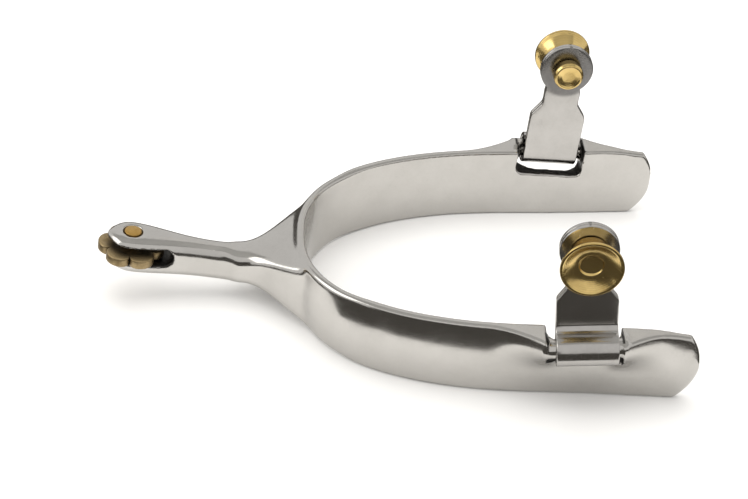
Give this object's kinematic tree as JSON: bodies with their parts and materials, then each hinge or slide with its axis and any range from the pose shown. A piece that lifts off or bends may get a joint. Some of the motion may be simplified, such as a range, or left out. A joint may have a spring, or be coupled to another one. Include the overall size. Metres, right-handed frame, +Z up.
{
  "type": "western spur",
  "caption": "Riding spur: U-shaped steel heel band with shank, spinning brass rowel on a pin, and hinged strap hangers with brass buttons.",
  "frame": {"origin": "centre of the spur's footprint, on the plane of the band's lower edge", "axes": "+X towards the toe of the boot (the band's open end), +Y towards the wearer's left, +Z up"},
  "size_m": [0.1503, 0.1002, 0.0526],
  "materials": {
    "polished_steel": "polished stainless steel, slightly wavy from hand polishing",
    "strap_steel": "polished stainless steel strip, darker than the band",
    "brass": "turned and polished brass",
    "rowel_brass": "dull brass",
    "pin_metal": "copper-coloured brass, filed flush"
  },
  "bodies": {
    "heel": {"heel_band": "polished_steel", "rowel_pin": "pin_metal"},
    "rowel": {"rowel": "rowel_brass"},
    "right_hanger": {"right_hanger": "strap_steel", "right_button": "brass", "right_rivet_knob": "brass"},
    "left_hanger": {"left_hanger": "strap_steel", "left_button": "brass", "left_rivet_knob": "brass"}
  },
  "joints": [
    {"name": "rowel_spin", "type": "hinge", "parent": "heel", "child": "rowel", "pos_m": [-0.06654, 0, 0.0142], "axis": [0.1392, 0, 0.9903], "continuous": true},
    {"name": "right_hanger_swing", "type": "hinge", "parent": "heel", "child": "right_hanger", "pos_m": [0.04661, -0.04453, 0.0179], "axis": [0.9965, -0.0391, 0.0732], "range_deg": [-92, 150]},
    {"name": "left_hanger_swing", "type": "hinge", "parent": "heel", "child": "left_hanger", "pos_m": [0.04661, 0.04453, 0.0179], "axis": [0.9963, 0.039, -0.0767], "range_deg": [-150, 92]}
  ]
}
